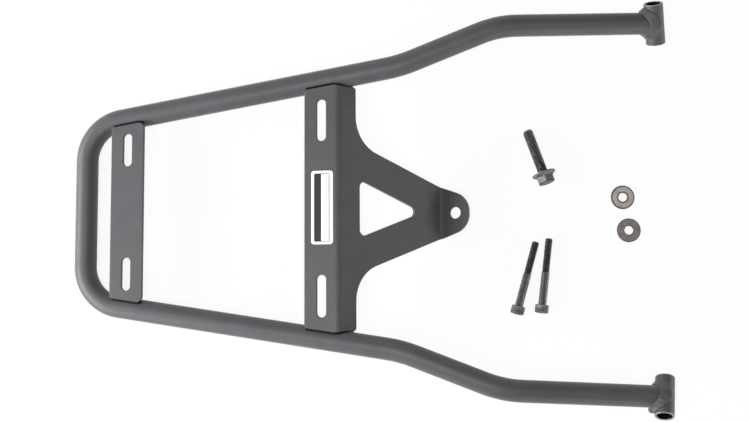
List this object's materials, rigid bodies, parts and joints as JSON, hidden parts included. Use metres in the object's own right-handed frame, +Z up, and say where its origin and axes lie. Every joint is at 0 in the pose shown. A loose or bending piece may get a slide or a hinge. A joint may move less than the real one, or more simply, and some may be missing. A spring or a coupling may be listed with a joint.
{
  "type": "motorcycle tail luggage rack",
  "caption": "Rigid tail luggage rack of one bent tube with slotted cross plates, a folded bracket tongue and end sleeves, shown with its loose fasteners.",
  "frame": {"origin": "on the ground, under the middle of the rack's length, on its middle plane", "axes": "+X from the rear tube towards the mount sleeves, +Y to the rack's left, +Z up from the ground that the rack lies on, deck up, on its rear tube and its bracket's crease"},
  "size_m": [0.4352, 0.303, 0.0667],
  "materials": {
    "powder_coat": "satin dark grey powder coat",
    "label_film": "plain two-tone printed film, no words",
    "zinc_plate": "dull zinc plate",
    "black_oxide": "black oxide with a brown cast",
    "washer_steel": "dull plain steel"
  },
  "bodies": {
    "rack": {"tube_frame": "powder_coat", "rear_cross_plate": "powder_coat", "front_bracket_plate": "powder_coat", "blank_label": "label_film", "left_mount_sleeve": "powder_coat", "left_sleeve_weld": "powder_coat", "left_rear_plate_weld": "powder_coat", "left_front_plate_weld": "powder_coat", "right_mount_sleeve": "powder_coat", "right_sleeve_weld": "powder_coat", "right_rear_plate_weld": "powder_coat", "right_front_plate_weld": "powder_coat"},
    "loose_flange_bolt": {"flange_bolt": "zinc_plate"},
    "loose_left_screw": {"left_cap_screw": "black_oxide"},
    "loose_right_screw": {"right_cap_screw": "black_oxide"},
    "loose_left_washer": {"left_washer": "washer_steel"},
    "loose_right_washer": {"right_washer": "washer_steel"}
  },
  "joints": [
    {"name": "flange_bolt_lift", "type": "slide", "parent": "rack", "child": "loose_flange_bolt", "axis": [0, 0, 1], "range_m": [0, 0.06]},
    {"name": "left_cap_screw_lift", "type": "slide", "parent": "rack", "child": "loose_left_screw", "axis": [0, 0, 1], "range_m": [0, 0.06]},
    {"name": "right_cap_screw_lift", "type": "slide", "parent": "rack", "child": "loose_right_screw", "axis": [0, 0, 1], "range_m": [0, 0.06]},
    {"name": "left_washer_lift", "type": "slide", "parent": "rack", "child": "loose_left_washer", "axis": [0, 0, 1], "range_m": [0, 0.06]},
    {"name": "right_washer_lift", "type": "slide", "parent": "rack", "child": "loose_right_washer", "axis": [0, 0, 1], "range_m": [0, 0.06]}
  ]
}
